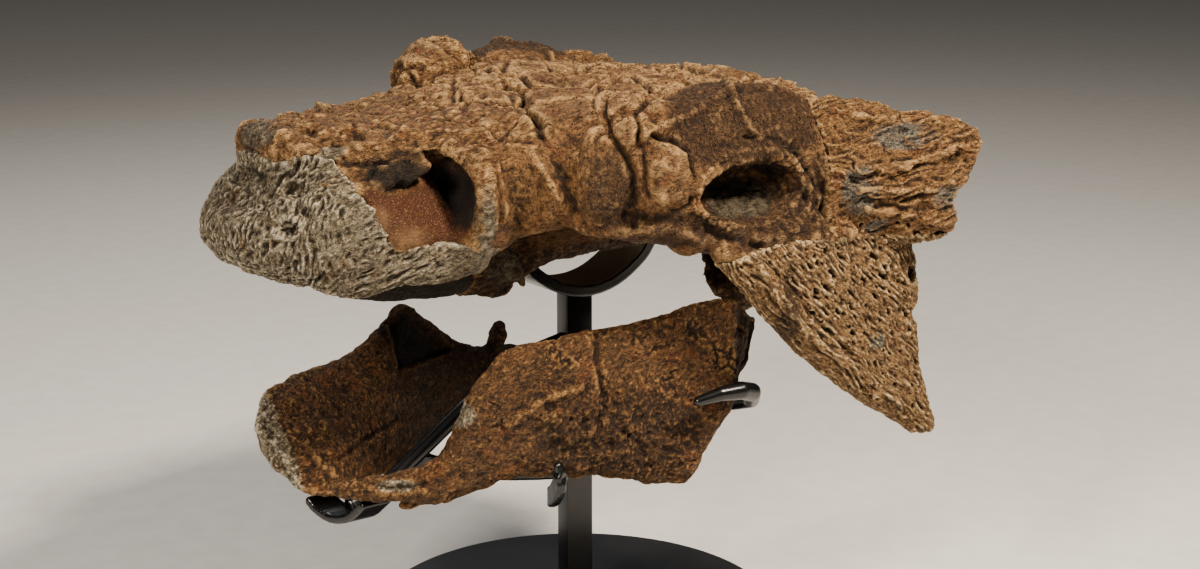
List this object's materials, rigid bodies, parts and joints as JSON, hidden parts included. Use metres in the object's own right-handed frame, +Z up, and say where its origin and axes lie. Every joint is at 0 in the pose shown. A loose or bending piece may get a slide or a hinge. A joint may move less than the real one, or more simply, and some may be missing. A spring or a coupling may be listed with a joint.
{
  "type": "dinosaur skull",
  "caption": "Life-size skull of an armoured dinosaur with both halves of its lower jaw held apart on a round-based museum stand",
  "frame": {"origin": "middle of the underside of the round base, on the surface it stands on", "axes": "-X is the way the snout points, -Y is the skull's left side, +Z is up"},
  "size_m": [0.5033, 0.4608, 0.4728],
  "materials": {
    "brown_bone": "rough mineralised bone, warm brown with tan highs and dark furrows",
    "grey_bone": "rough mineralised bone, grey-beige and grooved",
    "black_steel": "black satin paint"
  },
  "bodies": {
    "root": {"beak": "grey_bone", "cranium": "brown_bone", "mandible_left": "brown_bone", "mandible_right": "brown_bone", "quadratojugal_horn_left": "brown_bone", "quadratojugal_horn_right": "brown_bone", "squamosal_horn_left": "brown_bone", "squamosal_horn_right": "brown_bone", "stand_base": "black_steel", "stand_post": "black_steel", "stand_skull_cradle": "black_steel", "stand_front_rest": "black_steel", "stand_hook_left_low": "black_steel", "stand_hook_left_rear": "black_steel", "stand_hook_right_low": "black_steel", "stand_hook_right_rear": "black_steel"}
  },
  "joints": []
}
